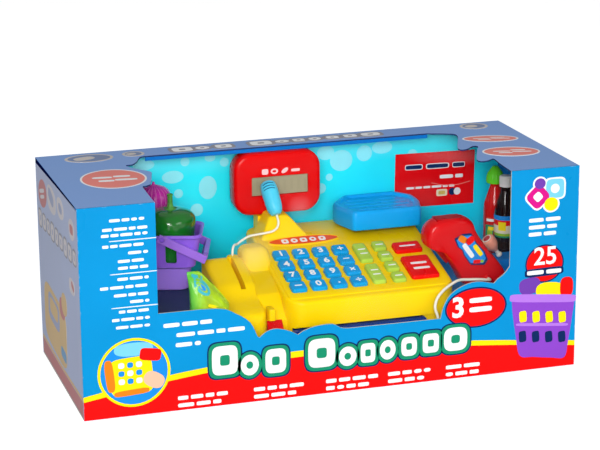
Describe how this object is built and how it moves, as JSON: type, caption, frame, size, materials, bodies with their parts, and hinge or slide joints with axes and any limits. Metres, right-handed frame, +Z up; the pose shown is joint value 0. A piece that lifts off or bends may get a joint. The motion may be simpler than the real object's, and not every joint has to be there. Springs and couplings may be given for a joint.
{
  "type": "toy shop set",
  "caption": "boxed toy shop with a yellow cash register, hand scanner and toy food behind a clear window",
  "frame": {"origin": "middle of the carton's underside", "axes": "+X along the carton to the right as seen from the window, +Y from the window to the back, +Z up"},
  "size_m": [0.5302, 0.22, 0.2188],
  "materials": {
    "printed_board": "glossy print, bright blue with a red band",
    "insert_card": "satin print, cyan",
    "clear_film": "clear, thin",
    "yellow_plastic": "smooth moulded",
    "red_plastic": "smooth moulded",
    "blue_plastic": "smooth moulded",
    "green_plastic": "smooth moulded, lime",
    "drawer_plastic": "moulded, dark blue",
    "lcd": "grey-olive screen",
    "circuit": "green solder mask",
    "rubber_sheet": "matte grey",
    "speaker_dark": "black frame and cone",
    "cord_white": "satin white sheath",
    "basket_purple": "smooth moulded",
    "pepper_green": "smooth, thin walled",
    "onion_magenta": "smooth, thin walled",
    "pouch_lime": "printed film pouch",
    "sauce_red": "smooth bottle",
    "cap_green": "smooth cap",
    "cola_dark": "dark clear bottle",
    "cap_white": "smooth cap",
    "ham_pink": "smooth, thin walled"
  },
  "bodies": {
    "carton_and_toys": {"backdrop_card": "insert_card", "bank_card": "red_plastic", "basket": "basket_purple", "battery_door": "red_plastic", "carton_back": "printed_board", "carton_bottom": "printed_board", "carton_front": "printed_board", "carton_top": "printed_board", "circuit_board": "circuit", "cola_bottle": "cola_dark", "cola_cap": "cap_white", "display_housing": "red_plastic", "ham": "ham_pink", "key_membrane": "rubber_sheet", "lcd_window": "lcd", "microphone": "blue_plastic", "microphone_cord": "cord_white", "onion": "onion_magenta", "pepper": "pepper_green", "pouch": "pouch_lime", "register_base": "red_plastic", "register_shell": "yellow_plastic", "sauce_bottle": "sauce_red", "sauce_cap": "cap_green", "scanner_body": "red_plastic", "scanner_cord": "cord_white", "speaker": "speaker_dark", "tray_card": "printed_board", "window_film": "clear_film"},
    "key_0": {"key_0": "blue_plastic"},
    "key_1": {"key_1": "blue_plastic"},
    "key_2": {"key_2": "blue_plastic"},
    "key_3": {"key_3": "blue_plastic"},
    "key_4": {"key_4": "blue_plastic"},
    "key_5": {"key_5": "blue_plastic"},
    "key_6": {"key_6": "blue_plastic"},
    "key_7": {"key_7": "blue_plastic"},
    "key_8": {"key_8": "blue_plastic"},
    "key_9": {"key_9": "blue_plastic"},
    "key_clear": {"key_clear": "blue_plastic"},
    "key_divide": {"key_divide": "blue_plastic"},
    "key_long_back": {"key_long_back": "green_plastic"},
    "key_long_front": {"key_long_front": "green_plastic"},
    "key_minus": {"key_minus": "blue_plastic"},
    "key_plus": {"key_plus": "blue_plastic"},
    "key_point": {"key_point": "blue_plastic"},
    "key_red_back": {"key_red_back": "red_plastic"},
    "key_red_front": {"key_red_front": "red_plastic"},
    "key_small_1": {"key_small_1": "green_plastic"},
    "key_small_2": {"key_small_2": "green_plastic"},
    "key_small_3": {"key_small_3": "green_plastic"},
    "key_small_4": {"key_small_4": "green_plastic"},
    "key_times": {"key_times": "blue_plastic"},
    "cash_drawer": {"cash_drawer": "drawer_plastic"},
    "scale_pan": {"scale_pan": "blue_plastic"},
    "scanner_trigger": {"scanner_trigger": "red_plastic"},
    "basket_handle": {"basket_handle": "basket_purple"},
    "left_end_flap": {"left_end_flap": "printed_board"},
    "right_end_flap": {"right_end_flap": "printed_board"}
  },
  "joints": [
    {"name": "key_0_press", "type": "slide", "parent": "carton_and_toys", "child": "key_0", "axis": [0, 0.2538, -0.9673], "range_m": [0, 0.002], "stiffness_N_per_m": 300, "springref_m": -0.001},
    {"name": "key_1_press", "type": "slide", "parent": "carton_and_toys", "child": "key_1", "axis": [0, 0.2538, -0.9673], "range_m": [0, 0.002], "stiffness_N_per_m": 300, "springref_m": -0.001},
    {"name": "key_2_press", "type": "slide", "parent": "carton_and_toys", "child": "key_2", "axis": [0, 0.2538, -0.9673], "range_m": [0, 0.002], "stiffness_N_per_m": 300, "springref_m": -0.001},
    {"name": "key_3_press", "type": "slide", "parent": "carton_and_toys", "child": "key_3", "axis": [0, 0.2538, -0.9673], "range_m": [0, 0.002], "stiffness_N_per_m": 300, "springref_m": -0.001},
    {"name": "key_4_press", "type": "slide", "parent": "carton_and_toys", "child": "key_4", "axis": [0, 0.2538, -0.9673], "range_m": [0, 0.002], "stiffness_N_per_m": 300, "springref_m": -0.001},
    {"name": "key_5_press", "type": "slide", "parent": "carton_and_toys", "child": "key_5", "axis": [0, 0.2538, -0.9673], "range_m": [0, 0.002], "stiffness_N_per_m": 300, "springref_m": -0.001},
    {"name": "key_6_press", "type": "slide", "parent": "carton_and_toys", "child": "key_6", "axis": [0, 0.2538, -0.9673], "range_m": [0, 0.002], "stiffness_N_per_m": 300, "springref_m": -0.001},
    {"name": "key_7_press", "type": "slide", "parent": "carton_and_toys", "child": "key_7", "axis": [0, 0.2538, -0.9673], "range_m": [0, 0.002], "stiffness_N_per_m": 300, "springref_m": -0.001},
    {"name": "key_8_press", "type": "slide", "parent": "carton_and_toys", "child": "key_8", "axis": [0, 0.2538, -0.9673], "range_m": [0, 0.002], "stiffness_N_per_m": 300, "springref_m": -0.001},
    {"name": "key_9_press", "type": "slide", "parent": "carton_and_toys", "child": "key_9", "axis": [0, 0.2538, -0.9673], "range_m": [0, 0.002], "stiffness_N_per_m": 300, "springref_m": -0.001},
    {"name": "key_clear_press", "type": "slide", "parent": "carton_and_toys", "child": "key_clear", "axis": [0, 0.2538, -0.9673], "range_m": [0, 0.002], "stiffness_N_per_m": 300, "springref_m": -0.001},
    {"name": "key_divide_press", "type": "slide", "parent": "carton_and_toys", "child": "key_divide", "axis": [0, 0.2538, -0.9673], "range_m": [0, 0.002], "stiffness_N_per_m": 300, "springref_m": -0.001},
    {"name": "key_long_back_press", "type": "slide", "parent": "carton_and_toys", "child": "key_long_back", "axis": [0, 0.2538, -0.9673], "range_m": [0, 0.002], "stiffness_N_per_m": 300, "springref_m": -0.001},
    {"name": "key_long_front_press", "type": "slide", "parent": "carton_and_toys", "child": "key_long_front", "axis": [0, 0.2538, -0.9673], "range_m": [0, 0.002], "stiffness_N_per_m": 300, "springref_m": -0.001},
    {"name": "key_minus_press", "type": "slide", "parent": "carton_and_toys", "child": "key_minus", "axis": [0, 0.2538, -0.9673], "range_m": [0, 0.002], "stiffness_N_per_m": 300, "springref_m": -0.001},
    {"name": "key_plus_press", "type": "slide", "parent": "carton_and_toys", "child": "key_plus", "axis": [0, 0.2538, -0.9673], "range_m": [0, 0.002], "stiffness_N_per_m": 300, "springref_m": -0.001},
    {"name": "key_point_press", "type": "slide", "parent": "carton_and_toys", "child": "key_point", "axis": [0, 0.2538, -0.9673], "range_m": [0, 0.002], "stiffness_N_per_m": 300, "springref_m": -0.001},
    {"name": "key_red_back_press", "type": "slide", "parent": "carton_and_toys", "child": "key_red_back", "axis": [0, 0.2538, -0.9673], "range_m": [0, 0.002], "stiffness_N_per_m": 300, "springref_m": -0.001},
    {"name": "key_red_front_press", "type": "slide", "parent": "carton_and_toys", "child": "key_red_front", "axis": [0, 0.2538, -0.9673], "range_m": [0, 0.002], "stiffness_N_per_m": 300, "springref_m": -0.001},
    {"name": "key_small_1_press", "type": "slide", "parent": "carton_and_toys", "child": "key_small_1", "axis": [0, 0.2538, -0.9673], "range_m": [0, 0.002], "stiffness_N_per_m": 300, "springref_m": -0.001},
    {"name": "key_small_2_press", "type": "slide", "parent": "carton_and_toys", "child": "key_small_2", "axis": [0, 0.2538, -0.9673], "range_m": [0, 0.002], "stiffness_N_per_m": 300, "springref_m": -0.001},
    {"name": "key_small_3_press", "type": "slide", "parent": "carton_and_toys", "child": "key_small_3", "axis": [0, 0.2538, -0.9673], "range_m": [0, 0.002], "stiffness_N_per_m": 300, "springref_m": -0.001},
    {"name": "key_small_4_press", "type": "slide", "parent": "carton_and_toys", "child": "key_small_4", "axis": [0, 0.2538, -0.9673], "range_m": [0, 0.002], "stiffness_N_per_m": 300, "springref_m": -0.001},
    {"name": "key_times_press", "type": "slide", "parent": "carton_and_toys", "child": "key_times", "axis": [0, 0.2538, -0.9673], "range_m": [0, 0.002], "stiffness_N_per_m": 300, "springref_m": -0.001},
    {"name": "drawer_slide", "type": "slide", "parent": "carton_and_toys", "child": "cash_drawer", "axis": [0, -1, 0], "range_m": [0, 0.013]},
    {"name": "pan_press", "type": "slide", "parent": "carton_and_toys", "child": "scale_pan", "axis": [0, 0, -1], "range_m": [0, 0.002], "stiffness_N_per_m": 400, "springref_m": -0.003},
    {"name": "trigger_press", "type": "slide", "parent": "carton_and_toys", "child": "scanner_trigger", "axis": [0.7771, 0, 0.6293], "range_m": [0, 0.002], "stiffness_N_per_m": 300, "springref_m": -0.001},
    {"name": "handle_swing", "type": "hinge", "parent": "carton_and_toys", "child": "basket_handle", "pos_m": [-0.14682, 0.02521, 0.1488], "axis": [-0.309, -0.9511, 0], "range_deg": [0, 70]},
    {"name": "left_flap_hinge", "type": "hinge", "parent": "carton_and_toys", "child": "left_end_flap", "pos_m": [-0.2651, 0, 0.0015], "axis": [0, -1, 0], "range_deg": [0, 90]},
    {"name": "right_flap_hinge", "type": "hinge", "parent": "carton_and_toys", "child": "right_end_flap", "pos_m": [0.2651, 0, 0.0015], "axis": [0, 1, 0], "range_deg": [0, 90]}
  ]
}
